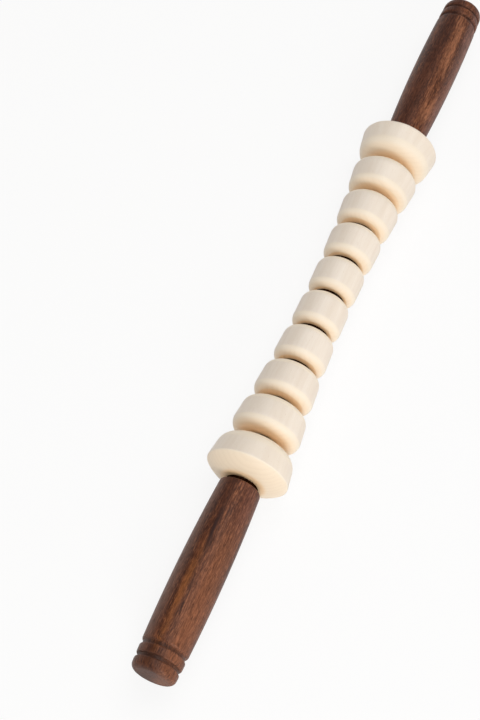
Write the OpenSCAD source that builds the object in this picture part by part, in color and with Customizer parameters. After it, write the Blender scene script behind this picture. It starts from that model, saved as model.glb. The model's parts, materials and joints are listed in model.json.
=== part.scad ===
// Wheel massage roller: ten turned wooden wheels that spin on a core rod between two turned handles.
// Millimetres. The rod runs along X and the roller lies on its two end wheels, with the floor at z = 0.
// The right half is drawn and the left half mirrors it. Sections are drawn as [radius, place along the rod].

/* [Overall] */
// Length from end face to end face
overall_length = 430; // [390:1:470]

/* [Wheels] */
// Distance from one wheel's middle to the next
wheel_pitch = 22.3; // [20:0.1:25]
// Clear space between the hubs of two wheels
wheel_gap = 2.2; // [1.6:0.1:6]
// Diameter of the hollow sweep at the middle of the roller
waist_d = 25.6; // [25:0.1:34]
// Radius of the hollow sweep that all the rims follow, seen from the side
sweep_r = 695; // [500:5:1200]
// Rounding of the edges of the inner wheels
wheel_edge_r = 4.8; // [2:0.1:5]
// Diameter of the flat hub round the bore
hub_d = 15.4; // [14:0.1:15.6]
// Radius of the shallow dome from the hub to the edge
face_dome_r = 50; // [40:1:60]
// Chamfer at both ends of every wheel's bore
bore_chamfer = 0.6; // [0.2:0.1:1]

/* [End wheels] */
// Width of an end wheel
end_wheel_w = 22.1; // [19:0.1:26]
// Rounding of an end wheel's inner edge
end_inner_r = 7.5; // [3:0.1:8]
// Depth of the domed outer face, from the rim's edge to the flat
dome_depth = 6.3; // [4:0.1:8]
// Radius of the dome's curve
dome_r = 23; // [18:1:60]
// Rounding between the rim and the dome
rim_edge_r = 1.2; // [0.5:0.1:2]
// Diameter of the flat around the rod on the outer face
end_flat_d = 19.8; // [18.5:0.1:24]

/* [Core rod] */
// Diameter of the rod
rod_d = 10; // [8:0.1:11]
// Chamfer on the rod's ends
rod_chamfer = 0.8; // [0.3:0.1:1.5]
// Number of glue rings turned into each end of the rod
glue_rings = 3; // [1:1:4]
// Distance from one glue ring to the next
glue_ring_pitch = 8; // [5:0.5:10]
// Width of a glue ring
glue_ring_w = 1.2; // [0.6:0.1:2]
// Depth of a glue ring
glue_ring_depth = 0.35; // [0.2:0.05:0.6]

/* [Spacer rings] */
// Diameter of the rings between the wheels
spacer_d = 16.4; // [13:0.1:18]
// Chamfer on a ring's outer edges
spacer_chamfer = 0.3; // [0.1:0.05:0.5]

/* [Handles] */
// Clear space between an end wheel and its handle
handle_gap = 2.4; // [1.5:0.1:4]
// Largest diameter of the grip
grip_d = 24; // [20:0.1:30]
// Distance from a handle's inner end to its thickest place
grip_peak = 53; // [35:1:60]
// Radius of the grip's swell, seen from the side
grip_swell_r = 900; // [600:10:2000]
// Rounding of the grip's inner end
grip_inner_r = 1.2; // [0.5:0.1:2.5]
// Rounding of the grip's shoulder at the first groove
grip_shoulder_r = 1.8; // [0.8:0.1:2.5]
// Width of a turned groove
groove_w = 1.5; // [1:0.1:2.5]
// Depth of a turned groove
groove_depth = 0.9; // [0.5:0.1:1.4]
// Width of the bead between the two grooves
bead_w = 4.7; // [3.5:0.1:7]
// Rounding of the edges beside the grooves
bead_edge_r = 1; // [0.4:0.1:1.5]
// Length of the end knob
knob_w = 5.6; // [5:0.1:9]
// Rounding of the handle's end
end_round_r = 3; // [1.5:0.1:3.8]
// Depth of the blind socket that takes the rod
socket_depth = 45; // [30:1:60]

/* [Fits] */
// Radial clearance of a wheel on the rod
running_clearance = 0.08; // [0.02:0.01:0.1]
// Clearance between a wheel's side and a spacer ring
side_play = 0.15; // [0.1:0.05:0.3]
// Radial room for glue round the rod
glue_gap = 0.05; // [0:0.01:0.1]

/* [Hidden] */

wheels_a_side = 5;
wheel_count = 2 * wheels_a_side;
spacer_count = wheel_count + 1;
dark_wood = "#5b3a2a";
pale_wood = "#ead9bd";
bright_steel = "#b8bcc0";
turn_steps = 128;
arc_step = 2;
cap_margin = 1;
swell_spans = 6;
bore_r = rod_d / 2 + running_clearance;
ring_bore_r = rod_d / 2 + glue_gap;
end_wheel_start = (wheels_a_side - 1) * wheel_pitch + wheel_gap / 2;
end_wheel_stop = end_wheel_start + end_wheel_w;
rim_edge_at = end_wheel_stop - dome_depth;
handle_start = end_wheel_stop + handle_gap;
handle_stop = overall_length / 2;
sweep_centre = [waist_d / 2 + sweep_r, 0];
face_dome_back = sqrt(pow(face_dome_r, 2) - pow(hub_d / 2, 2));
swell_centre = [grip_d / 2 - grip_swell_r, handle_start + grip_peak];
knob_start = handle_stop - knob_w;
bead_start = knob_start - groove_w - bead_w;
shoulder_at = bead_start - groove_w;
axis_height = sweep_edge(rim_edge_at, rim_edge_r)[0] + rim_edge_r;

// Facets for a circle, so that big curves stay smooth
function arc_facets(radius) = max(turn_steps, ceil(2 * PI * radius / arc_step));

function unit(v) = v / norm(v);

// Centre of a rounding of radius e at place y whose top touches the hollow sweep
function sweep_edge(y, e) = [waist_d / 2 + sweep_r - sqrt(pow(sweep_r + e, 2) - y * y), y];

// Centre of a rounding of radius e at place y that touches the grip's swell from inside
function swell_edge(y, e) =
    [swell_centre[0] + sqrt(pow(grip_swell_r - e, 2) - pow(y - swell_centre[1], 2)), y];

// Radius of the grip's swell at place y
function swell_at(y) = swell_edge(y, 0)[0];

// Outward normal of the line that touches two circles (a, ea) and (b, eb) on their outer side
function touch_normal(a, ea, b, eb) =
    let (
        along = unit(b - a),
        across = [along[1], -along[0]],
        lean = (ea - eb) / norm(b - a)
    )
    across * sqrt(1 - lean * lean) + along * lean;

// Point at distance ra from a and rb from b, on the left of the way from a to b
function two_circles(a, ra, b, rb) =
    let (
        gap = norm(b - a),
        along = unit(b - a),
        step = (gap * gap + ra * ra - rb * rb) / (2 * gap)
    )
    a + along * step + [-along[1], along[0]] * sqrt(ra * ra - step * step);

// The slice of a circle that stands beyond its chord from p to q
module arc_cap(centre, radius, p, q) {
    middle = (p + q) / 2;
    out = unit(middle - centre);
    rise = radius - norm(middle - centre) + cap_margin;
    intersection() {
        translate(centre) circle(radius, $fn = arc_facets(radius));
        polygon([p, q, q + out * rise, p + out * rise]);
    }
}

// Point of a circle on the way from its centre to another point
function on_circle(centre, radius, towards) = centre + unit(towards - centre) * radius;

// Centre of the shallow dome on a face at y: the inner face of a wheel, or its outer face
function inner_dome(y) = [0, y + face_dome_back];
function outer_dome(y) = [0, y - face_dome_back];

// Centre of a rounding of radius e between the sweep and the dome on a face at y
function inner_edge(y, e) = two_circles(sweep_centre, sweep_r + e, inner_dome(y), face_dome_r - e);
function outer_edge(y, e) = two_circles(outer_dome(y), face_dome_r - e, sweep_centre, sweep_r + e);

// The wall of a wheel's bore from y1 back to y0, with a chamfer at both ends
function bore_wall(y0, y1) = [
    [bore_r + bore_chamfer, y1], [bore_r, y1 - bore_chamfer],
    [bore_r, y0 + bore_chamfer], [bore_r + bore_chamfer, y0]
];

// Section of a turned piece from y0 to y1 with its edges rounded about the centres a and b, closed by wall
module ring_section(wall, y0, y1, a, ea, b, eb) {
    out = touch_normal(a, ea, b, eb);
    foot_a = [a[0], y0];
    foot_b = [b[0], y1];
    rim_a = a + out * ea;
    rim_b = b + out * eb;
    polygon(concat([foot_a, rim_a, rim_b, foot_b], wall));
    arc_cap(a, ea, foot_a, rim_a);
    arc_cap(b, eb, rim_b, foot_b);
}

// One of the inner wheels, counted from the middle outwards, with a shallow dome on both faces
module wheel_section(rank) {
    y0 = rank * wheel_pitch + wheel_gap / 2;
    y1 = (rank + 1) * wheel_pitch - wheel_gap / 2;
    a = inner_edge(y0, wheel_edge_r);
    b = outer_edge(y1, wheel_edge_r);
    out = touch_normal(a, wheel_edge_r, b, wheel_edge_r);
    hub_a = [hub_d / 2, y0];
    hub_b = [hub_d / 2, y1];
    dome_a = on_circle(inner_dome(y0), face_dome_r, a);
    dome_b = on_circle(outer_dome(y1), face_dome_r, b);
    rim_a = a + out * wheel_edge_r;
    rim_b = b + out * wheel_edge_r;
    polygon(concat([hub_a, dome_a, rim_a, rim_b, dome_b, hub_b], bore_wall(y0, y1)));
    arc_cap(inner_dome(y0), face_dome_r, hub_a, dome_a);
    arc_cap(a, wheel_edge_r, dome_a, rim_a);
    arc_cap(b, wheel_edge_r, rim_b, dome_b);
    arc_cap(outer_dome(y1), face_dome_r, dome_b, hub_b);
}

// An end wheel: a shallow dome inside and a deep one outside
module end_wheel_section() {
    y0 = end_wheel_start;
    a = inner_edge(y0, end_inner_r);
    b = sweep_edge(rim_edge_at, rim_edge_r);
    out = touch_normal(a, end_inner_r, b, rim_edge_r);
    hub = [hub_d / 2, y0];
    flat_edge = [end_flat_d / 2, end_wheel_stop];
    dome_centre = two_circles(b, dome_r - rim_edge_r, flat_edge, dome_r);
    dome_a = on_circle(inner_dome(y0), face_dome_r, a);
    dome_b = on_circle(dome_centre, dome_r, b);
    rim_a = a + out * end_inner_r;
    rim_b = b + out * rim_edge_r;
    polygon(concat([hub, dome_a, rim_a, rim_b, dome_b, flat_edge], bore_wall(y0, end_wheel_stop)));
    arc_cap(inner_dome(y0), face_dome_r, hub, dome_a);
    arc_cap(a, end_inner_r, dome_a, rim_a);
    arc_cap(b, rim_edge_r, rim_b, dome_b);
    arc_cap(dome_centre, dome_r, dome_b, flat_edge);
}

// The grip from the handle's inner end to the first groove
module grip_section() {
    a = swell_edge(handle_start + grip_inner_r, grip_inner_r);
    b = swell_edge(shoulder_at - grip_shoulder_r, grip_shoulder_r);
    foot_a = [a[0], handle_start];
    foot_b = [b[0], shoulder_at];
    rim_a = a + unit(a - swell_centre) * grip_inner_r;
    rim_b = b + unit(b - swell_centre) * grip_shoulder_r;
    span = (rim_b[1] - rim_a[1]) / swell_spans;
    swell = [for (k = [0:swell_spans]) [swell_at(rim_a[1] + k * span), rim_a[1] + k * span]];
    polygon(concat([[0, handle_start], foot_a], swell, [foot_b, [0, shoulder_at]]));
    arc_cap(a, grip_inner_r, foot_a, swell[0]);
    for (k = [1:swell_spans])
        arc_cap(swell_centre, grip_swell_r, swell[k - 1], swell[k]);
    arc_cap(b, grip_shoulder_r, swell[swell_spans], foot_b);
}

// The bottom of a groove that starts at y0, carried on under the edges beside it
module groove_floor(y0) {
    translate([0, y0 - bead_edge_r])
        square([swell_at(y0 + groove_w / 2) - groove_depth, groove_w + 2 * bead_edge_r]);
}

// The bead between the grooves and the knob at the handle's end
module handle_end_section() {
    bead_stop = bead_start + bead_w;
    bead_a = swell_edge(bead_start + bead_edge_r, bead_edge_r);
    bead_b = swell_edge(bead_stop - bead_edge_r, bead_edge_r);
    knob_a = swell_edge(knob_start + bead_edge_r, bead_edge_r);
    knob_b = swell_edge(handle_stop - end_round_r, end_round_r);
    bead_core = [[0, bead_stop], [0, bead_start]];
    knob_core = [[0, handle_stop], [0, knob_start]];
    ring_section(bead_core, bead_start, bead_stop, bead_a, bead_edge_r, bead_b, bead_edge_r);
    ring_section(knob_core, knob_start, handle_stop, knob_a, bead_edge_r, knob_b, end_round_r);
    groove_floor(shoulder_at);
    groove_floor(bead_stop);
}

// Lays a turned piece along the rod, on the right side or mirrored to the left
module lay(side) {
    translate([0, 0, axis_height])
        mirror([side < 0 ? 1 : 0, 0, 0])
            rotate([0, 90, 0]) children();
}

// Turns a section round the rod's axis
module turn() {
    rotate_extrude($fn = turn_steps) children();
}

// The rod through all the wheels, with chamfered ends and glue rings inside the handles
module core_rod() {
    half = handle_start + socket_depth;
    color(bright_steel) lay(1) difference() {
        turn() polygon([
            [0, -half], [rod_d / 2 - rod_chamfer, -half], [rod_d / 2, rod_chamfer - half],
            [rod_d / 2, half - rod_chamfer], [rod_d / 2 - rod_chamfer, half], [0, half]
        ]);
        for (side = [-1, 1], ring = [1:glue_rings])
            translate([0, 0, side * (half - ring * glue_ring_pitch) - glue_ring_w / 2])
                turn() translate([rod_d / 2 - glue_ring_depth, 0]) square([rod_d, glue_ring_w]);
    }
}

// A turned handle with a blind socket for the rod
module handle(side) {
    color(dark_wood) lay(side) difference() {
        turn() {
            grip_section();
            handle_end_section();
        }
        translate([0, 0, handle_start - cap_margin])
            cylinder(h = socket_depth + cap_margin, r = ring_bore_r, $fn = turn_steps);
    }
}

// Wheel i, counted from the left end to the right end
module wheel(i) {
    place = i - wheels_a_side - 0.5;
    rank = floor(abs(place));
    color(pale_wood) lay(sign(place)) turn() {
        if (rank == wheels_a_side - 1)
            end_wheel_section();
        else
            wheel_section(rank);
    }
}

// Spacer ring i, counted from the left end to the right end
module spacer(i) {
    place = i - wheels_a_side - 1;
    at_handle = abs(place) == wheels_a_side;
    y0 = at_handle ? end_wheel_stop + side_play : abs(place) * wheel_pitch - wheel_gap / 2 + side_play;
    y1 = at_handle ? handle_start : abs(place) * wheel_pitch + wheel_gap / 2 - side_play;
    edge = spacer_d / 2 - spacer_chamfer;
    color(dark_wood) lay(place < 0 ? -1 : 1) turn() polygon([
        [ring_bore_r, y0], [edge, y0], [spacer_d / 2, y0 + spacer_chamfer],
        [spacer_d / 2, y1 - spacer_chamfer], [edge, y1], [ring_bore_r, y1]
    ]);
}

core_rod();
handle(-1);  // left_handle
handle(1);  // right_handle
for (i = [1:wheel_count])
    wheel(i);
for (i = [1:spacer_count])
    spacer(i);
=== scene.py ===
"""Wheel massage roller: ten pale wooden wheels that spin on a core rod between two dark wooden handles.

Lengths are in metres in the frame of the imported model: the rod runs along X, Z points up and the floor is
at z = 0. Every piece is turned, so each one is a section of [place along the rod, radius] points that is
carried round the rod's axis. Sections are drawn for the right half and mirrored for the left half.
"""

import json
import logging
import math
from abc import ABC, abstractmethod
from collections.abc import Mapping, Sequence
from dataclasses import dataclass, field
from enum import Enum
from typing import Union

import bpy
import numpy as np
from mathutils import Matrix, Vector


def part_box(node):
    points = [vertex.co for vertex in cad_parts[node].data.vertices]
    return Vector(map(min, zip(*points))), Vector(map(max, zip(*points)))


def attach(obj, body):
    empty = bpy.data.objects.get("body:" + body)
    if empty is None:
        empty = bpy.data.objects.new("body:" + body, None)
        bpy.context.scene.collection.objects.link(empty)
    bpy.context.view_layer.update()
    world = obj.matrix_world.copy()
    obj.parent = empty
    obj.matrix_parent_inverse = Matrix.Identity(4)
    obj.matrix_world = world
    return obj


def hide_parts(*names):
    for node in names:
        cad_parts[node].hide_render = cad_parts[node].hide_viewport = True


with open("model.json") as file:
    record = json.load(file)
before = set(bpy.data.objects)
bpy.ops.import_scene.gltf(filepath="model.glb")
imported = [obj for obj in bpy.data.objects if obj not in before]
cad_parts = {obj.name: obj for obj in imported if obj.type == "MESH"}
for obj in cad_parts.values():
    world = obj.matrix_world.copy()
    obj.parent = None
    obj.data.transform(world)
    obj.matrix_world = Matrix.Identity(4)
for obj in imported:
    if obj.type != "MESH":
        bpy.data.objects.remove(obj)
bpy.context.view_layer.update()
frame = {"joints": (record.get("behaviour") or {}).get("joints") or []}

LOG = logging.getLogger("roller")
MM = 0.001
AXIS_HEIGHT = frame["joints"][0]["pos_m"][2]
WHITE = (1.0, 1.0, 1.0, 1.0)
CROSS_GRAIN = "cross_grain"
FULL_TURN = 2 * math.pi
HALF_TURN = math.pi
QUARTER_TURN = math.pi / 2
SAME_POINT = 1e-9
LINE_STEP = 1.2 * MM
ARC_STEP = 2.4 * MM
ARC_TURN = math.radians(8)
NOISE_MEAN = 0.5

Colour = tuple[float, float, float, float]
Point = tuple[float, float, float]
Span = tuple[float, float]


class Side(Enum):
    """The half of the roller that a piece belongs to, as the sign of its place along the rod."""

    LEFT = -1
    RIGHT = 1


class Slot(Enum):
    """The record's material slots."""

    HANDLE = "handle_wood"
    RING = "ring_wood"
    WHEEL = "wheel_wood"
    ROD = "rod_steel"


def srgb(red: int, green: int, blue: int) -> Colour:
    """Linear colour of a screen colour.

    Args:
        red: Red from 0 to 255, as green and blue are.
        green: Green.
        blue: Blue.

    Returns:
        Linear red, green, blue and an alpha of 1.
    """
    level = np.array([red, green, blue]) / 255
    linear = np.where(level <= 0.04045, level / 12.92, ((level + 0.055) / 1.055) ** 2.4)
    return (*linear.tolist(), 1.0)


def put_in_scene(name: str, data: bpy.types.ID) -> bpy.types.Object:
    """Adds an object to the scene.

    Args:
        name: Name of the object.
        data: Its mesh, lamp or camera.

    Returns:
        The object.
    """
    made = bpy.data.objects.new(name, data)
    bpy.context.scene.collection.objects.link(made)
    return made


def look_along(thing: bpy.types.Object, way: Vector) -> None:
    """Turns a lamp or a camera so that it looks along a vector."""
    thing.rotation_euler = way.to_track_quat("-Z", "Y").to_euler()


# Sections


def heading(vector: np.ndarray) -> float:
    """Angle of a [along the rod, away from it] vector, where 0 is along the rod."""
    return math.atan2(vector[1], vector[0])


def straight(start: Sequence[float], stop: Sequence[float], step: float = LINE_STEP) -> np.ndarray:
    """Evenly spaced points on a straight line.

    Args:
        start: First point.
        stop: Last point.
        step: Longest distance between two points.

    Returns:
        The points, start + (stop - start) * t for t from 0 to 1.
    """
    first, last = np.asarray(start, float), np.asarray(stop, float)
    count = max(1, math.ceil(np.linalg.norm(last - first) / step))
    share = np.linspace(0, 1, count + 1)[:, None]
    return first + (last - first) * share


def arc(centre: np.ndarray, radius: float, start: float, stop: float) -> np.ndarray:
    """Points of a circle from one angle to another.

    Args:
        centre: Centre as [along the rod, radius].
        radius: Radius of the circle.
        start: First angle, where 0 is along the rod and a quarter turn is away from it.
        stop: Last angle.

    Returns:
        The points, centre + radius * (cos angle, sin angle), at most ARC_TURN or ARC_STEP apart.
    """
    sweep = abs(stop - start)
    count = max(1, math.ceil(sweep / ARC_TURN), math.ceil(sweep * radius / ARC_STEP))
    angle = np.linspace(start, stop, count + 1)
    return centre + radius * np.column_stack([np.cos(angle), np.sin(angle)])


def touch_angle(first: np.ndarray, first_r: float, second: np.ndarray, second_r: float) -> float:
    """Angle of the outward normal of the line that touches two circles on their outer side.

    Args:
        first: Centre of the circle that comes first along the rod.
        first_r: Its radius.
        second: Centre of the other circle.
        second_r: Its radius.

    Returns:
        The angle of the line between the centres, plus a quarter turn, less the lean of unequal radii.
    """
    gap = second - first
    lean = math.asin((first_r - second_r) / np.linalg.norm(gap))
    return heading(gap) + QUARTER_TURN - lean


def meeting_point(first: np.ndarray, first_r: float, second: np.ndarray, second_r: float) -> np.ndarray:
    """The point at given distances from two others, on the right of the way from the first to the second.

    Args:
        first: First point.
        first_r: Distance from it.
        second: Second point.
        second_r: Distance from that.

    Returns:
        The point: a step along the line between the two, then square to it.
    """
    gap = second - first
    span = float(np.linalg.norm(gap))
    along = gap / span
    step = (span**2 + first_r**2 - second_r**2) / (2 * span)
    square = np.array([along[1], -along[0]])
    return first + along * step + square * math.sqrt(first_r**2 - step**2)


@dataclass(frozen=True)
class Section:
    """Half section of a turned piece, run so that the outside of the piece is on the left hand.

    A closed section is a ring round the rod. An open one starts and ends on the axis.
    """

    points: np.ndarray
    closed: bool

    @classmethod
    def joined(cls, runs: Sequence[np.ndarray], closed: bool) -> "Section":
        """Section of several runs of points in turn, less the points that repeat their neighbour.

        Args:
            runs: The runs of points.
            closed: True for a ring round the rod.

        Returns:
            The section.
        """
        points = np.vstack([np.atleast_2d(run) for run in runs])
        step = points - np.roll(points, 1, axis=0)
        fresh = np.hypot(step[:, 0], step[:, 1]) > SAME_POINT
        fresh[0] = fresh[0] or not closed
        return cls(points[fresh], closed)

    def on_side(self, side: Side) -> "Section":
        """The section itself on the right, and its mirror image, run backwards, on the left."""
        return self if side is Side.RIGHT else Section(self.points[::-1] * (-1, 1), self.closed)

    def cross_grain(self) -> np.ndarray:
        """How squarely the surface cuts the grain, which runs along the rod.

        Returns:
            One number a point: the share along the rod of the mean normal of the two lines that meet there.
        """
        line = np.roll(self.points, -1, axis=0) - self.points
        normal = np.column_stack([-line[:, 1], line[:, 0]]) / np.hypot(line[:, 0], line[:, 1])[:, None]
        before = np.roll(normal, 1, axis=0)
        if not self.closed:
            before[0], normal[-1] = normal[0], before[-1]
        mean = normal + before
        return np.abs(mean[:, 0]) / np.maximum(np.hypot(mean[:, 0], mean[:, 1]), SAME_POINT)


@dataclass(frozen=True)
class Lathe:
    """Turns sections into closed meshes round the rod's axis."""

    axis_height: float = AXIS_HEIGHT
    steps: int = 192
    sharp_angle: float = math.radians(24)

    def turn(self, name: str, section: Section) -> bpy.types.Object:
        """Carries a section round the axis: [x, r] goes to (x, r sin t, axis height + r cos t).

        Args:
            name: Name of the new piece.
            section: Section to turn.

        Returns:
            The piece, smooth but for its corners, with its cross grain as a point attribute.
        """
        rows = section.points if section.closed else section.points[1:-1]
        poles = section.points[:0] if section.closed else section.points[[0, -1]]
        angle = np.arange(self.steps) * (FULL_TURN / self.steps)
        place, radius = rows[:, :1], rows[:, 1:]
        grid = np.stack(
            [place + 0 * angle, radius * np.sin(angle), self.axis_height + radius * np.cos(angle)], axis=-1
        )
        tips = np.column_stack([poles[:, 0], 0 * poles[:, 0], 0 * poles[:, 0] + self.axis_height])
        cross = section.cross_grain()
        ends = cross[:0] if section.closed else cross[[0, -1]]
        body = cross if section.closed else cross[1:-1]
        mesh = bpy.data.meshes.new(name)
        self._fill(mesh, np.vstack([grid.reshape(-1, 3), tips]), len(rows), section.closed)
        grain = mesh.attributes.new(CROSS_GRAIN, "FLOAT", "POINT")
        shares = np.concatenate([np.repeat(body, self.steps), ends])
        grain.data.foreach_set("value", shares.astype(np.float32))
        return put_in_scene(name, mesh)

    def _fill(self, mesh: bpy.types.Mesh, points: np.ndarray, rows: int, closed: bool) -> None:
        """Puts the points and the faces between them into a mesh.

        Every face goes along the section first and round the axis next, which turns it outwards.

        Args:
            mesh: Empty mesh.
            points: The rows of the grid, one after another, and then the two tips if there are any.
            rows: Number of rows in the grid.
            closed: True if the last row joins the first.
        """
        row = np.arange(rows if closed else rows - 1)[:, None] * self.steps
        onward = (row + self.steps) % (rows * self.steps)
        step = np.arange(self.steps)
        ahead = (step + 1) % self.steps
        quads = np.stack([row + step, onward + step, onward + ahead, row + ahead], axis=-1).reshape(-1, 4)
        fans = np.empty((0, 3), int)
        if not closed:
            last, tip = (rows - 1) * self.steps, rows * self.steps
            near = np.column_stack([np.full(self.steps, tip), step, ahead])
            far = np.column_stack([last + step, np.full(self.steps, tip + 1), last + ahead])
            fans = np.vstack([near, far])
        corners = np.concatenate([quads.ravel(), fans.ravel()]).astype(np.int32)
        starts = np.concatenate([np.arange(len(quads)) * 4, quads.size + np.arange(len(fans)) * 3])
        mesh.vertices.add(len(points))
        mesh.vertices.foreach_set("co", points.astype(np.float32).ravel())
        mesh.loops.add(len(corners))
        mesh.loops.foreach_set("vertex_index", corners)
        mesh.polygons.add(len(starts))
        mesh.polygons.foreach_set("loop_start", starts.astype(np.int32))
        mesh.polygons.foreach_set("use_smooth", np.ones(len(starts), bool))
        mesh.update(calc_edges=True)
        mesh.validate()
        mesh.set_sharp_from_angle(angle=self.sharp_angle)


# Shaders


class Signal:
    """A shader socket that takes part in Python expressions: each operator adds a Math node."""

    def __init__(self, graph: "ShaderGraph", socket: bpy.types.NodeSocket) -> None:
        """Wraps a socket of a graph's node."""
        self.graph = graph
        self.socket = socket

    def __add__(self, other: "Value") -> "Signal":
        """Sum of this and another value."""
        return self.graph.math("ADD", self, other)

    def __radd__(self, other: "Value") -> "Signal":
        """Sum of another value and this."""
        return self.graph.math("ADD", other, self)

    def __sub__(self, other: "Value") -> "Signal":
        """This less another value."""
        return self.graph.math("SUBTRACT", self, other)

    def __rsub__(self, other: "Value") -> "Signal":
        """Another value less this."""
        return self.graph.math("SUBTRACT", other, self)

    def __mul__(self, other: "Value") -> "Signal":
        """Product of this and another value."""
        return self.graph.math("MULTIPLY", self, other)

    def __rmul__(self, other: "Value") -> "Signal":
        """Product of another value and this."""
        return self.graph.math("MULTIPLY", other, self)

    def __truediv__(self, other: "Value") -> "Signal":
        """This divided by another value."""
        return self.graph.math("DIVIDE", self, other)

    def __rtruediv__(self, other: "Value") -> "Signal":
        """Another value divided by this."""
        return self.graph.math("DIVIDE", other, self)

    def __pow__(self, other: "Value") -> "Signal":
        """This to the power of another value."""
        return self.graph.math("POWER", self, other)

    def __abs__(self) -> "Signal":
        """This without its sign."""
        return self.graph.math("ABSOLUTE", self)

    def fraction(self) -> "Signal":
        """The part of this after the decimal point."""
        return self.graph.math("FRACT", self)

    def at_least(self, other: "Value") -> "Signal":
        """The larger of this and another value."""
        return self.graph.math("MAXIMUM", self, other)

    def rise(self, low: float, high: float) -> "Signal":
        """A smooth step.

        Args:
            low: Value up to which the step is 0.
            high: Value from which it is 1.

        Returns:
            The step.
        """
        node = self.graph.node(
            "ShaderNodeMapRange",
            {"interpolation_type": "SMOOTHSTEP"},
            {"Value": self, "From Min": low, "From Max": high},
        )
        return self.graph.out(node)

    def fall(self, low: float, high: float) -> "Signal":
        """A smooth step down, from 1 at the low value to 0 at the high one."""
        return 1 - self.rise(low, high)

    def within(self, low: float, high: float, fade: float) -> "Signal":
        """A window that is 1 from low to high and 0 outside, with edges that fade over twice the fade."""
        return self.rise(low - fade, low + fade) * self.fall(high - fade, high + fade)


Value = Union[Signal, float]


@dataclass(frozen=True)
class NoiseLayer:
    """Noise: the size of a feature along each axis, the number of finer layers and their strength."""

    size: Point
    detail: float = 2.0
    roughness: float = 0.5


class ShaderGraph:
    """The node tree of a material or a world, built by expressions."""

    def __init__(self, tree: bpy.types.NodeTree) -> None:
        """Starts on an empty tree."""
        self.tree = tree
        tree.nodes.clear()

    def node(
        self,
        kind: str,
        settings: Mapping[str, object] | None = None,
        inputs: Mapping[str, object] | None = None,
    ) -> bpy.types.Node:
        """Adds a node.

        Args:
            kind: Blender's name for the node's type.
            settings: Its own settings, which are set first. "stops" holds a ramp's [place, colour] pairs.
            inputs: A value or a signal for each socket, by the socket's name or identifier.

        Returns:
            The node.
        """
        made = self.tree.nodes.new(kind)
        for key, value in (settings or {}).items():
            if key == "stops":
                self._set_stops(made.color_ramp, value)
            else:
                setattr(made, key, value)
        for key, value in (inputs or {}).items():
            socket = next(s for s in made.inputs if key in (s.identifier, s.name))
            if isinstance(value, Signal):
                self.tree.links.new(value.socket, socket)
            else:
                socket.default_value = value
        return made

    @staticmethod
    def _set_stops(ramp: bpy.types.ColorRamp, stops: Sequence[tuple[float, Colour]]) -> None:
        """Gives a ramp its stops.

        Args:
            ramp: Ramp of a new node.
            stops: [place, colour] pairs, from the first to the last.
        """
        while len(ramp.elements) < len(stops):
            ramp.elements.new(1.0)
        for element, (place, colour) in zip(ramp.elements, stops):
            element.position, element.color = place, colour

    def out(self, node: bpy.types.Node, key: str | int = 0) -> Signal:
        """The signal of one of a node's outputs.

        Args:
            node: Node of the graph.
            key: Place, name or identifier of the output.

        Returns:
            The signal.
        """
        if isinstance(key, int):
            return Signal(self, node.outputs[key])
        return Signal(self, next(s for s in node.outputs if key in (s.identifier, s.name)))

    def math(self, operation: str, *values: Value) -> Signal:
        """Adds a Math node on one or two values."""
        inputs = dict(zip(("Value", "Value_001"), values))
        return self.out(self.node("ShaderNodeMath", {"operation": operation}, inputs))

    def mix(self, share: Value, first: object, second: object) -> Signal:
        """Mixes two colours.

        Args:
            share: Share of the second colour.
            first: First colour or signal.
            second: Second colour or signal.

        Returns:
            The mixed colour.
        """
        made = self.node(
            "ShaderNodeMix",
            {"data_type": "RGBA", "clamp_factor": True},
            {"Factor_Float": share, "A_Color": first, "B_Color": second},
        )
        return self.out(made, "Result_Color")

    def scale(self, colour: Signal, factor: Value) -> Signal:
        """A colour times a factor."""
        made = self.node(
            "ShaderNodeVectorMath", {"operation": "SCALE"}, {"Vector": colour, "Scale": factor}
        )
        return self.out(made)

    def noise(self, vector: Signal, layer: NoiseLayer) -> Signal:
        """Noise from 0 to 1 about a mean of 0.5.

        Args:
            vector: Coordinates.
            layer: The noise, with sizes in the units of the coordinates.

        Returns:
            The noise.
        """
        scaled = self.node(
            "ShaderNodeVectorMath", {"operation": "DIVIDE"}, {"Vector": vector, "Vector_001": layer.size}
        )
        made = self.node(
            "ShaderNodeTexNoise",
            {"noise_dimensions": "3D"},
            {
                "Vector": self.out(scaled),
                "Scale": 1.0,
                "Detail": layer.detail,
                "Roughness": layer.roughness,
            },
        )
        return self.out(made)

    def split(self, vector: Signal) -> tuple[Signal, Signal, Signal]:
        """The three parts of a vector."""
        made = self.node("ShaderNodeSeparateXYZ", inputs={"Vector": vector})
        return self.out(made, 0), self.out(made, 1), self.out(made, 2)

    def vector(self, x: Value, y: Value, z: Value) -> Signal:
        """A vector of three values."""
        return self.out(self.node("ShaderNodeCombineXYZ", inputs={"X": x, "Y": y, "Z": z}))

    def attribute(self, name: str) -> Signal:
        """The value of a mesh attribute."""
        return self.out(self.node("ShaderNodeAttribute", {"attribute_name": name}), "Fac")

    def bump(self, height: Signal, depth: float) -> Signal:
        """Normal of a surface with a relief: its height from 0 to 1 times a depth in metres."""
        made = self.node("ShaderNodeBump", inputs={"Strength": 1.0, "Distance": depth, "Height": height})
        return self.out(made)


def material_graph(name: str) -> tuple[bpy.types.Material, ShaderGraph]:
    """A new material.

    Args:
        name: Name of the material.

    Returns:
        The material and the graph of its nodes, which is empty.
    """
    made = bpy.data.materials.new(name)
    made.use_nodes = True
    return made, ShaderGraph(made.node_tree)


# Finishes


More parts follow.
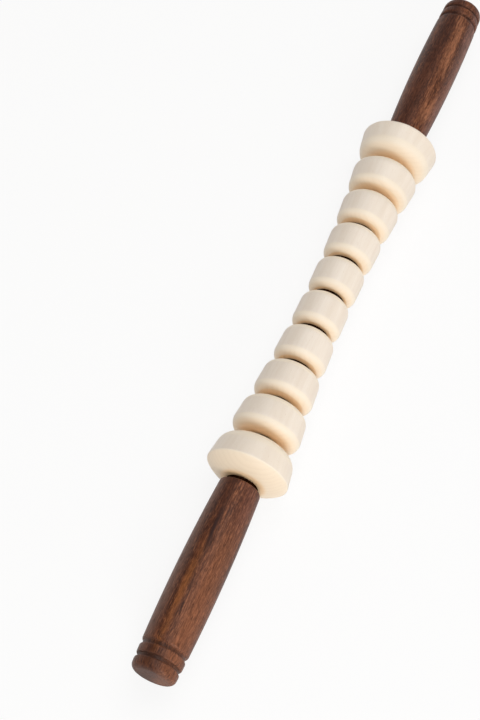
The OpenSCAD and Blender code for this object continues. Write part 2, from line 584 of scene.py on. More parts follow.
@dataclass(frozen=True)
class GrainPlace:
    """Where a piece was cut from its board: the middle of its pattern and its turn about the rod.

    Its scorched grooves are [start, stop] along the grain from that middle, in millimetres.
    """

    centre: Point
    turn: float = 0.0
    grooves: tuple[Span, ...] = ()

    def coordinates(self, graph: ShaderGraph) -> Signal:
        """Object coordinates from the middle of the pattern, in millimetres.

        Args:
            graph: Graph of the material.

        Returns:
            The coordinates, with the grain along X.
        """
        source = graph.node("ShaderNodeTexCoord")
        placed = graph.node(
            "ShaderNodeMapping",
            {"vector_type": "TEXTURE"},
            {
                "Vector": graph.out(source, "Object"),
                "Location": self.centre,
                "Rotation": (self.turn, 0.0, 0.0),
                "Scale": (MM, MM, MM),
            },
        )
        return graph.out(placed)


class Finish(ABC):
    """A finish that can dress a piece."""

    def material(self, name: str, place: GrainPlace) -> bpy.types.Material:
        """Material of one piece.

        Args:
            name: Name of the material.
            place: Place of the piece in the pattern.

        Returns:
            The material.
        """
        made, graph = material_graph(name)
        shader = graph.node("ShaderNodeBsdfPrincipled", inputs=self.look(graph, place))
        graph.node("ShaderNodeOutputMaterial", inputs={"Surface": graph.out(shader)})
        return made

    @abstractmethod
    def look(self, graph: ShaderGraph, place: GrainPlace) -> dict[str, object]:
        """Works out the look of one piece.

        Args:
            graph: Graph of the piece's material.
            place: Place of the piece in the pattern.

        Returns:
            Inputs of the Principled shader.
        """


@dataclass(frozen=True)
class Tint:
    """A colour that covers others, up to a share, where a signal rises through a span."""

    colour: Colour
    share: float
    span: Span

    def over(self, colour: Signal, signal: Signal) -> Signal:
        """The colour below with this one over it."""
        return signal.graph.mix(signal.rise(*self.span) * self.share, colour, self.colour)


@dataclass(frozen=True)
class PigmentAndSheenStreak:
    """A layer of darker or brighter wood that runs along a handle, and on the near handle also a band of
    painted sheen. Lengths are in millimetres.
    """

    colour: Colour
    strength: float
    offset: float
    half_width: float
    start: float
    stop: float
    slant: float = 0.0
    fade: float = 14.0
    ragged: float = 4.0
    broken: float = 0.0
    soft: float = 0.85
    patch_span: Span = (0.44, 0.6)

    def mask(self, along: Signal, across: Signal, fray: Signal, patches: Signal) -> Signal:
        """Share of the streak's colour.

        Args:
            along: Place along the grain.
            across: Place across it.
            fray: Noise that frays the streak's edges.
            patches: Noise that breaks the streak into patches.

        Returns:
            The share, full on the middle line and none past the half width.
        """
        middle = self.offset + along * self.slant + (fray - NOISE_MEAN) * self.ragged
        reach = abs(across - middle) / self.half_width
        whole = 1 - patches.fall(*self.patch_span) * self.broken
        inside = reach.fall(1 - self.soft, 1.0) * along.within(self.start, self.stop, self.fade)
        return inside * whole * self.strength


@dataclass(frozen=True)
class Wood(Finish):
    """A wood whose yearly layers lie round a far pith, with the grain along X. Lengths are in millimetres.

    A span is the pair of levels of a signal between which something fades in. A share is how much of a
    colour then covers the one below, and a relief is a part of the surface's height.
    """

    pith: Span = (24.0, -30.0)
    ring_width: float = 3.4
    wander: float = 7.0
    late_span: Span = (0.35, 0.92)
    year_end: Span = (0.93, 1.0)

    def layer(self, across: Signal, up: Signal, sway: Signal) -> Signal:
        """Distance from the pith, which is the root of the sum of two squares, plus a swaying wander."""
        beside, above = across - self.pith[0], up - self.pith[1]
        return (beside * beside + above * above) ** 0.5 + (sway - NOISE_MEAN) * self.wander

    def late_wood(self, layer: Signal) -> Signal:
        """Share of late wood, which comes in through each year's layer and ends at once."""
        year = (layer / self.ring_width).fraction()
        return year.rise(*self.late_span) * year.fall(*self.year_end)


@dataclass(frozen=True)
class DarkWood(Wood):
    """Oiled dark hardwood: growth layers, pigment bands and streaks, fibres, flecks and open pores. A
    streak can also be painted sheen.
    """

    streaks: tuple[PigmentAndSheenStreak, ...] = ()
    streak_fill: Point = (0.4, 0.5, 0.7)
    lean: float = 0.03
    deep: Colour = srgb(52, 27, 18)
    dark: Colour = srgb(84, 46, 30)
    middle: Colour = srgb(112, 65, 43)
    bright: Colour = srgb(148, 94, 63)
    end_grain: Colour = srgb(98, 74, 66)
    scorch: Colour = srgb(34, 19, 14)
    band_stops: tuple[float, float, float, float] = (0.3, 0.44, 0.56, 0.72)
    sway: NoiseLayer = NoiseLayer((85, 17, 17), 3)
    patches: NoiseLayer = NoiseLayer((26, 3.4, 3.4), 3)
    bands: NoiseLayer = NoiseLayer((6.5, 120, 1), 4, 0.55)
    fibre: NoiseLayer = NoiseLayer((9, 0.55, 0.55), 3, 0.6)
    fleck: NoiseLayer = NoiseLayer((2.6, 0.75, 0.75), 2, 0.6)
    pores: NoiseLayer = NoiseLayer((4.5, 0.34, 0.34), 1)
    cut_span: Span = (0.55, 0.95)
    pore_span: Span = (0.58, 0.7)
    bright_span: Span = (0.5, 0.72)
    deep_span: Span = (0.3, 0.5)
    late_share: float = 0.4
    cut_share: float = 0.85
    cut_late_share: float = 0.5
    grain_share: float = 0.5
    pore_share: float = 0.6
    scorch_share: float = 0.5
    scorch_fade: float = 0.4
    contrast: float = 0.75
    roughness: float = 0.42
    pore_roughness: float = 0.2
    cut_roughness: float = 0.12
    fibre_roughness: float = 0.12
    shine: float = 0.18
    relief: float = 0.05
    fibre_relief: float = 0.4
    pore_relief: float = 0.6

    def look(self, graph: ShaderGraph, place: GrainPlace) -> dict[str, object]:
        """Dark wood for one piece.

        Args:
            graph: Graph of the piece's material.
            place: Place of the piece in the pattern.

        Returns:
            Inputs of the Principled shader.
        """
        grain = place.coordinates(graph)
        along, across, up = graph.split(grain)
        cut = graph.attribute(CROSS_GRAIN).rise(*self.cut_span)
        sway = graph.noise(grain, self.sway)
        patches = graph.noise(grain, self.patches)
        layer = self.layer(across, up, sway) + along * self.lean
        late_wood = self.late_wood(layer)
        bands = graph.noise(graph.vector(layer, along, 0.0), self.bands)
        fibre = graph.noise(grain, self.fibre)
        fleck = graph.noise(grain, self.fleck)
        pores = graph.noise(grain, self.pores).rise(*self.pore_span)
        stops = list(zip(self.band_stops, (self.deep, self.dark, self.middle, self.bright)))
        colour = graph.out(graph.node("ShaderNodeValToRGB", {"stops": stops}, {"Fac": bands}))
        colour = graph.mix(late_wood * self.late_share, colour, self.deep)
        colour = graph.mix(cut * (self.cut_share - late_wood * self.cut_late_share), colour, self.end_grain)
        for grained in (fibre, fleck):
            colour = graph.mix(grained.rise(*self.bright_span) * self.grain_share, colour, self.bright)
            colour = graph.mix(grained.fall(*self.deep_span) * self.grain_share, colour, self.deep)
        plain, by_fibre, by_fleck = self.streak_fill
        for streak in self.streaks:
            fill = plain + fibre * by_fibre + fleck * by_fleck
            share = streak.mask(along, across, sway, patches) * fill
            colour = graph.mix(share, colour, streak.colour)
        colour = graph.scale(colour, 1.0 + (fibre + fleck - 2 * NOISE_MEAN) * self.contrast)
        colour = graph.mix(pores * self.pore_share, colour, self.deep)
        for start, stop in place.grooves:
            scorched = along.within(start, stop, self.scorch_fade) * self.scorch_share
            colour = graph.mix(scorched, colour, self.scorch)
        worn = self.roughness + pores * self.pore_roughness + cut * self.cut_roughness
        height = fibre * self.fibre_relief + (1 - pores) * self.pore_relief
        return {
            "Base Color": colour,
            "Roughness": worn + (fibre - NOISE_MEAN) * self.fibre_roughness,
            "Normal": graph.bump(height, self.relief * MM),
            "Specular IOR Level": self.shine,
        }


@dataclass(frozen=True)
class PaleWood(Wood):
    """Fine sanded pale hardwood under clear lacquer: faint growth layers, fibres and small flecks.

    The colour goes with how squarely a surface cuts the grain: cream on the rims, then the turned edge,
    the end grain and, last, square end grain. These tints are partly the wood's own warmer tone where it is
    cut across, and partly painted warm shade of light bounced between the wheels, deepest on the faces in
    the gaps.
    """

    pith: Span = (30.0, -26.0)
    ring_width: float = 2.7
    wander: float = 3.5
    late_span: Span = (0.3, 0.9)
    year_end: Span = (0.92, 1.0)
    cream: Colour = srgb(243, 232, 219)
    shade: Colour = srgb(232, 217, 200)
    brown: Colour = srgb(206, 180, 150)
    # Golden tint on the rounded wheel edges: partly the wood's own tone, partly painted warm shade of light
    # bounced between the wheels.
    edge_tint_and_warm_shade: Tint = Tint(srgb(247, 234, 214), 0.8, (0.08, 0.32))
    # Golden tint on the domes and sloping faces: partly end grain's own warmer tone, partly painted warm
    # shade.
    end_grain: Tint = Tint(srgb(246, 227, 201), 0.9, (0.45, 0.9))
    # Golden tint on the faces that look along the rod, between the wheels: mostly painted warm shade of the
    # gaps, partly end grain's tone.
    gap_shade_and_square_grain: Tint = Tint(srgb(244, 208, 162), 0.9, (0.94, 0.99))
    sway: NoiseLayer = NoiseLayer((40, 12, 12))
    broad: NoiseLayer = NoiseLayer((60, 5, 5))
    fibre: NoiseLayer = NoiseLayer((11, 0.4, 0.4), 3, 0.6)
    flecks: NoiseLayer = NoiseLayer((2.4, 0.3, 0.3), 1)
    broad_span: Span = (0.3, 0.7)
    fibre_span: Span = (0.32, 0.55)
    fleck_span: Span = (0.68, 0.78)
    broad_share: float = 0.45
    late_share: float = 0.14
    fibre_share: float = 0.25
    cut_late_share: float = 0.07
    fleck_share: float = 0.35
    roughness: float = 0.38
    fibre_roughness: float = 0.12
    cut_roughness: float = 0.06
    shine: float = 0.4
    relief: float = 0.02
    fibre_relief: float = 0.7
    fleck_relief: float = 0.3

    def look(self, graph: ShaderGraph, place: GrainPlace) -> dict[str, object]:
        """Pale wood for one piece.

        Args:
            graph: Graph of the piece's material.
            place: Place of the piece in the pattern.

        Returns:
            Inputs of the Principled shader.
        """
        grain = place.coordinates(graph)
        across, up = graph.split(grain)[1:]
        facing = graph.attribute(CROSS_GRAIN)
        cut = facing.rise(*self.end_grain.span)
        late_wood = self.late_wood(self.layer(across, up, graph.noise(grain, self.sway)))
        broad = graph.noise(grain, self.broad).rise(*self.broad_span)
        fibre = graph.noise(grain, self.fibre)
        flecks = graph.noise(grain, self.flecks).rise(*self.fleck_span)
        shaded = broad * self.broad_share + late_wood * self.late_share
        colour = graph.mix(shaded, self.cream, self.shade)
        colour = graph.mix(fibre.fall(*self.fibre_span) * self.fibre_share, colour, self.shade)
        # These tints lay painted warm shade over the wood's own tones where the surface turns across the
        # grain.
        for tint in (self.edge_tint_and_warm_shade, self.end_grain, self.gap_shade_and_square_grain):
            colour = tint.over(colour, facing)
        colour = graph.mix(cut * late_wood * self.cut_late_share, colour, self.brown)
        colour = graph.mix(flecks * self.fleck_share, colour, self.brown)
        sanded = self.roughness + (fibre - NOISE_MEAN) * self.fibre_roughness
        height = fibre * self.fibre_relief + (1 - flecks) * self.fleck_relief
        return {
            "Base Color": colour,
            "Roughness": sanded + cut * self.cut_roughness,
            "Normal": graph.bump(height, self.relief * MM),
            "Specular IOR Level": self.shine,
        }


@dataclass(frozen=True)
class DrawnSteel(Finish):
    """Drawn steel with fine lines along the rod. Lengths are in millimetres."""

    bright: Colour = srgb(196, 199, 203)
    dull: Colour = srgb(150, 152, 156)
    lines: NoiseLayer = NoiseLayer((40, 0.12, 0.12))
    line_span: Span = (0.3, 0.7)
    roughness: float = 0.3
    line_roughness: float = 0.2
    relief: float = 0.01

    def look(self, graph: ShaderGraph, place: GrainPlace) -> dict[str, object]:
        """Drawn steel for one piece.

        Args:
            graph: Graph of the piece's material.
            place: Place of the piece in the pattern.

        Returns:
            Inputs of the Principled shader.
        """
        lines = graph.noise(place.coordinates(graph), self.lines)
        return {
            "Base Color": graph.mix(lines.rise(*self.line_span), self.dull, self.bright),
            "Metallic": 1.0,
            "Roughness": self.roughness + (lines - NOISE_MEAN) * self.line_roughness,
            "Normal": graph.bump(lines, self.relief * MM),
        }


NEAR_WOOD = DarkWood(
    streaks=(
        # The first streak is painted sheen: a greyish lighter band along the handle's left edge as the
        # camera sees it, where the lacquer catches a grazing reflection.
        PigmentAndSheenStreak(srgb(116, 82, 68), 0.75, offset=10.5, half_width=4.6, start=-48, stop=80),
        PigmentAndSheenStreak(srgb(142, 86, 46), 0.65, offset=4.2, half_width=2.6, start=-40, stop=14, broken=0.8),
        PigmentAndSheenStreak(srgb(138, 88, 63), 0.6, offset=-5.5, half_width=7.0, start=-52, stop=26, soft=0.6),
        PigmentAndSheenStreak(srgb(122, 80, 67), 0.5, offset=-6.5, half_width=7.0, start=26, stop=70, broken=0.3),
        PigmentAndSheenStreak(srgb(66, 40, 31), 0.6, offset=3.5, half_width=9.0, start=-70, stop=-40, fade=5),
        PigmentAndSheenStreak(srgb(70, 41, 32), 0.75, offset=4.8, half_width=4.2, start=26, stop=80, broken=0.4),
        PigmentAndSheenStreak(
            srgb(50, 29, 26), 0.95, offset=2.0, half_width=1.7, start=12, stop=30,
            slant=0.05, fade=8, ragged=7.0,
        ),
        PigmentAndSheenStreak(
            srgb(58, 34, 28), 0.8, offset=2.0, half_width=2.4, start=28, stop=56,
            slant=0.05, fade=6, ragged=9.0, broken=0.7,
        ),
    ),
)
FAR_WOOD = DarkWood(
    pith=(-26.0, -28.0),
    streaks=(
        PigmentAndSheenStreak(srgb(70, 41, 32), 0.6, offset=4.5, half_width=6.0, start=-60, stop=60),
        PigmentAndSheenStreak(srgb(128, 88, 76), 0.65, offset=-9.5, half_width=5.0, start=-60, stop=60, broken=0.5),
        PigmentAndSheenStreak(
            srgb(150, 98, 70), 0.85, offset=-3.6, half_width=4.4, start=-60, stop=60,
            slant=0.05, ragged=6.0, broken=0.9,
        ),
    ),
)
RING_WOOD = DarkWood(
    deep=srgb(20, 9, 4),
    dark=srgb(32, 15, 7),
    middle=srgb(45, 22, 10),
    bright=srgb(66, 36, 18),
    end_grain=srgb(42, 23, 12),
    roughness=0.75,
    shine=0.0,
)
WHEEL_WOOD = PaleWood()
ROD_STEEL = DrawnSteel()


# Pieces of the roller


@dataclass(frozen=True)
class TurnedPart(ABC):
    """A piece of the roller that stands for the CAD node of its name."""

    node: str
    finish: Finish
    grain_turn: float = 0.0
    grain_shift: float = 0.0

    slot = Slot.HANDLE
    body = "stick"

    @abstractmethod
    def section(self) -> Section:
        """Section of the piece on the right side of the roller."""

    def reach(self) -> tuple[float, float]:
        """Where the node lies on its half of the roller.

        Returns:
            Distances from the roller's middle to the node's two ends, the nearer first.
        """
        low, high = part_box(self.node)
        near, far = sorted((abs(low.x), abs(high.x)))
        return near, far

    def middle(self) -> float:
        """Place of the node's middle along the rod."""
        low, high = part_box(self.node)
        return (low.x + high.x) / 2

    def grooves(self) -> tuple[Span, ...]:
        """Scorched grooves along the grain. Most pieces have none."""
        return ()

    def side(self) -> Side:
        """The half of the roller that the node belongs to."""
        return Side.LEFT if self.middle() < -SAME_POINT else Side.RIGHT

    def build(self, lathe: Lathe) -> bpy.types.Object:
        """Turns the piece, dresses it and puts it on its body.

        Args:
            lathe: Lathe that turns the section.

        Returns:
            The piece.
        """
        piece = lathe.turn(f"{self.node}_turned", self.section().on_side(self.side()))
        centre = (self.middle() + self.grain_shift, 0.0, lathe.axis_height)
        place = GrainPlace(centre, self.grain_turn, self.grooves())
        piece.data.materials.append(self.finish.material(f"{self.slot.value}_of_{self.node}", place))
        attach(piece, self.body)
        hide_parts(self.node)
        return piece


@dataclass(frozen=True)
class Handle(TurnedPart):
    """A swelled grip with two grooves, a bead and a rounded end, bored for the rod."""

    grip_r: float = 12 * MM
    peak: float = 53 * MM
    swell_r: float = 900 * MM
    inner_edge: float = 1.2 * MM
    shoulder_edge: float = 1.8 * MM
    groove_w: float = 1.5 * MM
    groove_depth: float = 0.9 * MM
    bead_w: float = 4.7 * MM
    bead_edge: float = 1 * MM
    knob_w: float = 5.6 * MM
    end_edge: float = 3 * MM
    socket_r: float = 5.05 * MM
    socket_step: float = 6 * MM
    end_face_core: float = 0.6 * MM

    def swell_centre(self) -> np.ndarray:
        """Centre of the grip's long swell, far beyond the axis."""
        return np.array([self.reach()[0] + self.peak, self.grip_r - self.swell_r])

    def swell_edge(self, place: float, rounding: float) -> np.ndarray:
        """Centre of a rounding that touches the swell from inside.

        Args:
            place: Place of the centre along the rod.
            rounding: Radius of the rounding.

        Returns:
            The centre: on a circle round the swell's centre that is smaller by the rounding.
        """
        centre = self.swell_centre()
        rise = math.sqrt((self.swell_r - rounding) ** 2 - (place - centre[0]) ** 2)
        return np.array([place, centre[1] + rise])

    def groove_floor(self, start: float) -> float:
        """Radius of the bottom of the groove that starts at a place."""
        return self.swell_edge(start + self.groove_w / 2, 0)[1] - self.groove_depth

    def turned_places(self) -> tuple[float, float, float, float]:
        """Places of the turned details along the rod, worked out from the end inwards.

        Returns:
            Places of the shoulder, of both ends of the bead and of the knob's start.
        """
        knob_start = self.reach()[1] - self.knob_w
        bead_stop = knob_start - self.groove_w
        bead_start = bead_stop - self.bead_w
        return bead_start - self.groove_w, bead_start, bead_stop, knob_start

    def grooves(self) -> tuple[Span, ...]:
        """Both grooves, a little wider than their floors, from the handle's middle.

        Returns:
            The [start, stop] of each along the grain, in millimetres.
        """
        shoulder, bead_start, bead_stop, knob_start = self.turned_places()
        middle, sign = abs(self.middle()), self.side().value
        pairs = ((shoulder, bead_start), (bead_stop, knob_start))
        places = [sorted(sign * (place - middle) / MM for place in pair) for pair in pairs]
        return tuple((low, high) for low, high in places)

    def section(self) -> Section:
        """Section from the socket's end, out of the socket, along the grip and in over the end face.

        Returns:
            The open section.
        """
        start, stop = self.reach()
        swell = self.swell_centre()
        shoulder, bead_start, bead_stop, knob_start = self.turned_places()
        inner = self.swell_edge(start + self.inner_edge, self.inner_edge)
        outer = self.swell_edge(shoulder - self.shoulder_edge, self.shoulder_edge)
        outer_stop = self._dip(outer, self.shoulder_edge, shoulder)
        socket_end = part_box("core_rod")[1].x
        runs = [
            np.array([socket_end, 0.0]),
            straight((socket_end, self.socket_r), (start, self.socket_r), self.socket_step),
            straight((start, self.socket_r), (start, inner[1])),
            arc(inner, self.inner_edge, HALF_TURN, heading(inner - swell)),
            arc(swell, self.swell_r, heading(inner - swell), heading(outer - swell)),
            arc(outer, self.shoulder_edge, heading(outer - swell), outer_stop),
            self._bump(bead_start, bead_stop, self.bead_edge, shoulder, bead_stop),
            self._bump(knob_start, stop, self.end_edge, bead_stop, None),
            np.array([stop, 0.0]),
        ]
        return Section.joined(runs, closed=False)

    def _dip(self, centre: np.ndarray, rounding: float, groove: float | None) -> float:
        """Angle at which a rounding ends.

        Args:
            centre: Centre of the rounding.
            rounding: Its radius.
            groove: Start of the groove beside it, if there is one.

        Returns:
            The angle at the groove's floor, or 0, which is level with the centre, at the end face.
        """
        if groove is None:
            return 0.0
        return math.asin((self.groove_floor(groove) - centre[1]) / rounding)

    def _bump(
        self, start: float, stop: float, last_edge: float, groove: float, next_groove: float | None
    ) -> np.ndarray:
        """Run over the bead or the end knob.

        Args:
            start: Where it starts along the rod.
            stop: Where it ends.
            last_edge: Rounding of its last edge.
            groove: Start of the groove before it.
            next_groove: Start of the groove after it, if there is one.

        Returns:
            The points of both roundings, with a straight line between them, and of the end face.
        """
        first = self.swell_edge(start + self.bead_edge, self.bead_edge)
        last = self.swell_edge(stop - last_edge, last_edge)
        lean = touch_angle(first, self.bead_edge, last, last_edge)
        runs = [
            arc(first, self.bead_edge, HALF_TURN - self._dip(first, self.bead_edge, groove), lean),
            arc(last, last_edge, lean, self._dip(last, last_edge, next_groove)),
        ]
        if next_groove is None:
            runs.append(straight((stop, last[1]), (stop, self.end_face_core)))
        return np.vstack(runs)


@dataclass(frozen=True)
class Sweep:
    """The hollow curve that all the rims follow, seen from the side."""

    waist_r: float = 12.8 * MM
    radius: float = 695 * MM

    def centre(self) -> np.ndarray:
        """Centre of the sweep, far out from the rod's middle."""
        return np.array([0.0, self.waist_r + self.radius])

    def edge(self, place: float, rounding: float) -> np.ndarray:
        """Centre of a rounding that touches the sweep: on a circle that is larger by the rounding."""
        rise = math.sqrt((self.radius + rounding) ** 2 - place**2)
        return np.array([place, self.waist_r + self.radius - rise])


@dataclass(frozen=True)
class WheelFace:
    """One face of a wheel in section: its dome, the rounding at the rim and the edge of the flat hub."""

    dome: np.ndarray
    dome_r: float
    edge: np.ndarray
    edge_r: float
    hub: np.ndarray

    def edge_angle(self) -> float:
        """Angle at which the dome meets the rounding."""
        return heading(self.edge - self.dome)

    def hub_angle(self) -> float:
        """Angle at which the dome meets the hub."""
        return heading(self.hub - self.dome)


@dataclass(frozen=True)
class Wheel(TurnedPart):
    """A drum-shaped wheel with rounded edges, a shallow dome on both faces and a chamfered bore."""

    sweep: Sweep = field(default_factory=Sweep)
    edge: float = 4.8 * MM
    hub_r: float = 7.7 * MM
    face_r: float = 50 * MM
    bore_r: float = 5.08 * MM
    bore_chamfer: float = 0.6 * MM

    slot = Slot.WHEEL

    @property
    def body(self) -> str:
        """Each wheel is a body of its own."""
        return self.node

    def shallow_face(self, place: float, facing: Side) -> WheelFace:
        """A face with a shallow dome.

        Args:
            place: Place of its hub along the rod.
            facing: Where the face looks.

        Returns:
            The face, with its rounding's centre a rounding's radius below both the dome and the rim.
        """
        dome = np.array([place - facing.value * math.sqrt(self.face_r**2 - self.hub_r**2), 0.0])
        below = [(dome, self.face_r - self.edge), (self.sweep.centre(), self.sweep.radius + self.edge)]
        first, second = below[:: facing.value]
        edge = meeting_point(*first, *second)
        return WheelFace(dome, self.face_r, edge, self.edge, np.array([place, self.hub_r]))

    def outer_face(self) -> WheelFace:
        """The face that looks away from the roller's middle."""
        return self.shallow_face(self.reach()[1], Side.RIGHT)

    def bore(self) -> np.ndarray:
        """Run from the outer end of the bore back to its inner end.

        Returns:
            The four corners of the bore and its chamfers.
        """
        start, stop = self.reach()
        mouth, wall, cut = self.bore_r + self.bore_chamfer, self.bore_r, self.bore_chamfer
        return np.array([[stop, mouth], [stop - cut, wall], [start + cut, wall], [start, mouth]])

    def section(self) -> Section:
        """Section over the inner face, the rim and the outer face, and back through the bore.

        Returns:
            The closed section.
        """
        inner, outer = self.shallow_face(self.reach()[0], Side.LEFT), self.outer_face()
        lean = touch_angle(inner.edge, inner.edge_r, outer.edge, outer.edge_r)
        first = arc(inner.edge, inner.edge_r, inner.edge_angle(), lean)
        last = arc(outer.edge, outer.edge_r, lean, outer.edge_angle())
        bore = self.bore()
        runs = [
            straight(bore[-1], inner.hub),
            arc(inner.dome, inner.dome_r, inner.hub_angle(), inner.edge_angle()),
            first,
            straight(first[-1], last[0]),
            last,
            arc(outer.dome, outer.dome_r, outer.edge_angle(), outer.hub_angle()),
            straight(outer.hub, bore[0]),
            bore,
        ]
        return Section.joined(runs, closed=True)


@dataclass(frozen=True)
class EndWheel(Wheel):
    """The largest wheel, at either end, with a deep dome on its outer face."""

    edge: float = 7.5 * MM
    rim_edge: float = 1.2 * MM
    dome_depth: float = 6.3 * MM
    dome_r: float = 23 * MM
    flat_r: float = 9.9 * MM

    def outer_face(self) -> WheelFace:
        """The face with the deep dome.

        Returns:
            The face, with its rounding on the sweep and its dome from that rounding to the flat hub.
        """
        stop = self.reach()[1]
        hub = np.array([stop, self.flat_r])
        edge = self.sweep.edge(stop - self.dome_depth, self.rim_edge)
        dome = meeting_point(edge, self.dome_r - self.rim_edge, hub, self.dome_r)
        return WheelFace(dome, self.dome_r, edge, self.rim_edge, hub)


@dataclass(frozen=True)
class SpacerRing(TurnedPart):
    """A chamfered ring that keeps two neighbours apart on the rod."""

    outer_r: float = 8.2 * MM
    bore_r: float = 5.05 * MM
    chamfer: float = 0.3 * MM

    slot = Slot.RING

    def reach(self) -> tuple[float, float]:
        """Places of the node's two ends, which lie on both sides of the middle for the middle ring."""
        low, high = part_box(self.node)
        return (low.x, high.x) if self.side() is Side.RIGHT else (-high.x, -low.x)

    def section(self) -> Section:
        """Section round the ring: inner face, chamfered rim, outer face and bore.

        Returns:
            The closed section.
        """
        start, stop = self.reach()
        edge, cut = self.outer_r - self.chamfer, self.chamfer
        corners = [
            [start, self.bore_r], [start, edge], [start + cut, self.outer_r],
            [stop - cut, self.outer_r], [stop, edge], [stop, self.bore_r],
        ]
        return Section.joined([np.array(corners)], closed=True)


@dataclass(frozen=True)
class CoreRod(TurnedPart):
    """The rod through all the wheels, with chamfered ends and glue rings inside the handles."""

    radius: float = 5 * MM
    chamfer: float = 0.8 * MM
    glue_rings: int = 3
    glue_ring_pitch: float = 8 * MM
    glue_ring_w: float = 1.2 * MM
    glue_ring_depth: float = 0.35 * MM

    slot = Slot.ROD

    def section(self) -> Section:
        """Section from the left tip to the right tip, with the glue rings mirrored about the middle.

        Returns:
            The open section.
        """
        half = self.reach()[1]
        middles = half - self.glue_ring_pitch * np.arange(self.glue_rings, 0, -1)
        steps = np.array([[-1, 0], [-1, 1], [1, 1], [1, 0]]) * (self.glue_ring_w / 2, -self.glue_ring_depth)
        rings = (np.column_stack([middles, 0 * middles + self.radius])[:, None] + steps).reshape(-1, 2)
        tip = [[half - self.chamfer, self.radius], [half, self.radius - self.chamfer], [half, 0.0]]
        right = np.vstack([rings, tip])
        return Section.joined([right[::-1] * (-1, 1), right], closed=False)


# Studio


@dataclass(frozen=True)
class SoftBox:
    """A square area lamp that faces the middle of the roller."""

    name: str
    place: Point
    size: float
    power: float

    def build(self) -> None:
        """Makes the lamp."""
        data = bpy.data.lights.new(self.name, "AREA")
        data.shape, data.size, data.energy = "SQUARE", self.size, self.power
        lamp = put_in_scene(self.name, data)
        lamp.location = self.place
        look_along(lamp, Vector((0, 0, AXIS_HEIGHT)) - lamp.location)


@dataclass(frozen=True)
class Viewpoint:
    """The camera: where it aims, from which side and how high, how far off and with which lens."""

    aim: Point = (-50.273 * MM, 27.643 * MM, AXIS_HEIGHT)
    azimuth: float = math.radians(-66.935)
    elevation: float = math.radians(59.944)
    distance: float = 727.08 * MM
    lens: float = 72.844
    clip: Span = (0.01, 100.0)

    def build(self) -> None:
        """Makes the scene's camera."""
        flat = math.cos(self.elevation)
        back = Vector(
            (math.sin(self.azimuth) * flat, -math.cos(self.azimuth) * flat, math.sin(self.elevation))
        )
        data = bpy.data.cameras.new("camera")
        data.lens = self.lens
        data.clip_start, data.clip_end = self.clip
        camera = put_in_scene("camera", data)
        camera.location = Vector(self.aim) + back * self.distance
        look_along(camera, -back)
        bpy.context.scene.camera = camera


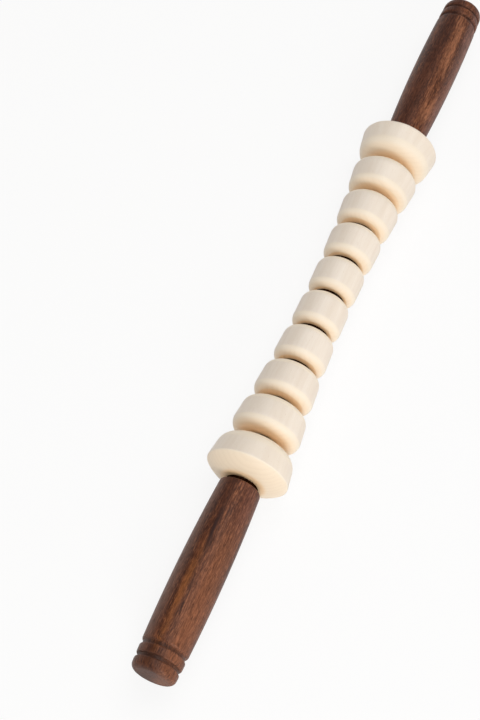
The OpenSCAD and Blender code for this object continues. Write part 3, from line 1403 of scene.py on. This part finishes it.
@dataclass(frozen=True)
class Studio:
    """A white floor, a soft sky that is bright all round and dim overhead, lamps and the camera."""

    lamps: tuple[SoftBox, ...]
    viewpoint: Viewpoint = field(default_factory=Viewpoint)
    floor_r: float = 14.0
    floor_corners: int = 64
    floor_colour: Colour = (0.93, 0.93, 0.93, 1.0)
    floor_roughness: float = 0.85
    floor_shine: float = 0.1
    floor_glow: float = 0.85
    tooth: NoiseLayer = NoiseLayer((2 * MM, 2 * MM, 2 * MM))
    tooth_roughness: float = 0.1
    sky_colour: Colour = (1.0, 0.93, 0.84, 1.0)
    sky_level: float = 1.0
    zenith_level: float = 0.22
    zenith_span: Span = (0.1, 0.5)
    shaded_side: float = 0.45
    shaded_span: Span = (-0.1, 0.8)

    def build(self) -> None:
        """Makes everything round the roller."""
        scene = bpy.context.scene
        scene.view_settings.view_transform = "Standard"
        self.floor()
        self.sky(scene)
        for lamp in self.lamps:
            lamp.build()
        self.viewpoint.build()

    def floor(self) -> bpy.types.Object:
        """A flat disc: the point at radius r and angle t is (r cos t, r sin t, 0).

        Returns:
            The floor, white to the camera but for the shadow on it.
        """
        angle = np.linspace(0, FULL_TURN, self.floor_corners, endpoint=False)
        points = self.floor_r * np.column_stack([np.cos(angle), np.sin(angle), 0 * angle])
        mesh = bpy.data.meshes.new("floor")
        mesh.from_pydata(points.tolist(), [], [list(range(len(points)))])
        made, graph = material_graph("floor_paper")
        grain = graph.out(graph.node("ShaderNodeTexCoord"), "Object")
        tooth = graph.noise(grain, self.tooth)
        paper = graph.node(
            "ShaderNodeBsdfPrincipled",
            inputs={
                "Base Color": self.floor_colour,
                "Roughness": self.floor_roughness + tooth * self.tooth_roughness,
                "Specular IOR Level": self.floor_shine,
            },
        )
        glow = graph.node("ShaderNodeEmission", inputs={"Strength": 1.0})
        both = graph.node(
            "ShaderNodeMixShader",
            inputs={
                "Fac": self.seen(graph) * self.floor_glow,
                "Shader": graph.out(paper),
                "Shader_001": graph.out(glow),
            },
        )
        graph.node("ShaderNodeOutputMaterial", inputs={"Surface": graph.out(both)})
        mesh.materials.append(made)
        return put_in_scene("floor", mesh)

    @staticmethod
    def seen(graph: ShaderGraph) -> Signal:
        """1 for what the camera sees, also in gloss or through glass, and 0 for light on the roller.

        Args:
            graph: Graph that gets the nodes.

        Returns:
            The mask.
        """
        ray = graph.node("ShaderNodeLightPath")
        seen = graph.out(ray, "Is Camera Ray").at_least(graph.out(ray, "Is Glossy Ray"))
        return seen.at_least(graph.out(ray, "Is Transmission Ray"))

    def sky(self, scene: bpy.types.Scene) -> None:
        """Lights the scene from all round, most from near the horizon.

        Args:
            scene: Scene that gets the world.
        """
        world = bpy.data.worlds.new("studio_sky")
        world.use_nodes = True
        graph = ShaderGraph(world.node_tree)
        direction = graph.out(graph.node("ShaderNodeTexCoord"), "Generated")
        beside, height = graph.split(direction)[1:]
        level = self.sky_level - height.rise(*self.zenith_span) * (self.sky_level - self.zenith_level)
        seen = self.seen(graph)
        level = level * (1 - beside.rise(*self.shaded_span) * (1 - seen) * self.shaded_side)
        tint = graph.mix(seen, self.sky_colour, WHITE)
        light = graph.node("ShaderNodeBackground", inputs={"Color": tint, "Strength": level})
        graph.node("ShaderNodeOutputWorld", inputs={"Surface": graph.out(light)})
        scene.world = world


def main() -> None:
    """Builds every piece of the roller in order, and then the studio."""
    logging.basicConfig(level=logging.INFO, format="%(name)s: %(message)s")
    towards_camera = math.radians(10)
    wheel_count = 10
    wheel_turn, wheel_shift = 2.4, 0.037
    ring_turn, ring_shift = 1.9, 0.023
    lathe = Lathe()
    parts: list[TurnedPart] = [
        CoreRod("core_rod", ROD_STEEL),
        Handle("left_handle", NEAR_WOOD, grain_turn=towards_camera),
        Handle("right_handle", FAR_WOOD, grain_turn=towards_camera),
    ]
    for i in range(1, wheel_count + 1):
        kind = EndWheel if i in (1, wheel_count) else Wheel
        parts.append(kind(f"wheel_{i}", WHEEL_WOOD, wheel_turn * i, wheel_shift * i))
    for i in range(1, wheel_count + 2):
        parts.append(SpacerRing(f"spacer_{i}", RING_WOOD, ring_turn * i, ring_shift * i))
    for part in parts:
        piece = part.build(lathe)
        LOG.info("%s: %d faces on body %s", piece.name, len(piece.data.polygons), part.body)
    Studio(
        lamps=(
            SoftBox("key_lamp", place=(-1.22, -0.67, 0.57), size=0.5, power=6.5),
            SoftBox("top_lamp", place=(0.4, -0.2, 1.5), size=1.2, power=10.6),
            SoftBox("fill_lamp", place=(-0.65, -0.23, 1.15), size=0.5, power=3.8),
        )
    ).build()


if __name__ == "__main__":
    main()
